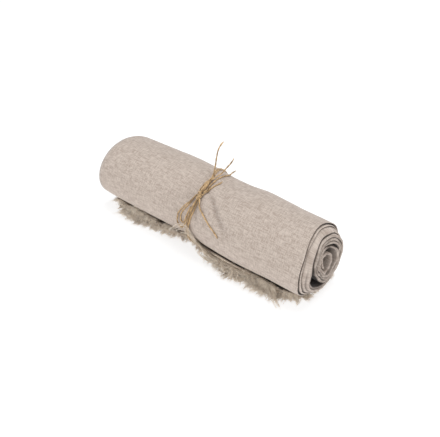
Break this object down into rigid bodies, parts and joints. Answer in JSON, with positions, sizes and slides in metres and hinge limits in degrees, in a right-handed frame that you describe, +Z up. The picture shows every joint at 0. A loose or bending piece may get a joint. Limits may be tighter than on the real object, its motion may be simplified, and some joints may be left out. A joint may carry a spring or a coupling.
{
  "type": "rolled tablecloth",
  "caption": "Linen tablecloth with frayed edges, folded lengthwise, rolled up and tied round the middle with jute twine in a bow.",
  "frame": {"origin": "on the floor, under the middle of the cloth's own box, twine left out", "axes": "+X along the roll towards its open, wound end; +Z up; -Y to the front, where the cloth's frayed loose end comes out from under the roll"},
  "size_m": [0.3764, 0.121, 0.1559],
  "materials": {
    "linen": "matte washed linen, greige with a fine light and dark fleck",
    "frayed": "loose cream linen threads",
    "jute": "matte golden tan twisted jute twine"
  },
  "bodies": {
    "root": {"roll": "linen", "loose_top": "linen", "loose_under": "linen", "fringe_top": "frayed", "fringe_under": "frayed", "fringe_side": "frayed", "band_left": "jute", "band_right": "jute", "knot": "jute", "bow_outer": "jute", "bow_inner": "jute", "long_end": "jute", "end_upright": "jute", "end_back": "jute", "end_side": "jute", "end_short": "jute"}
  },
  "joints": []
}
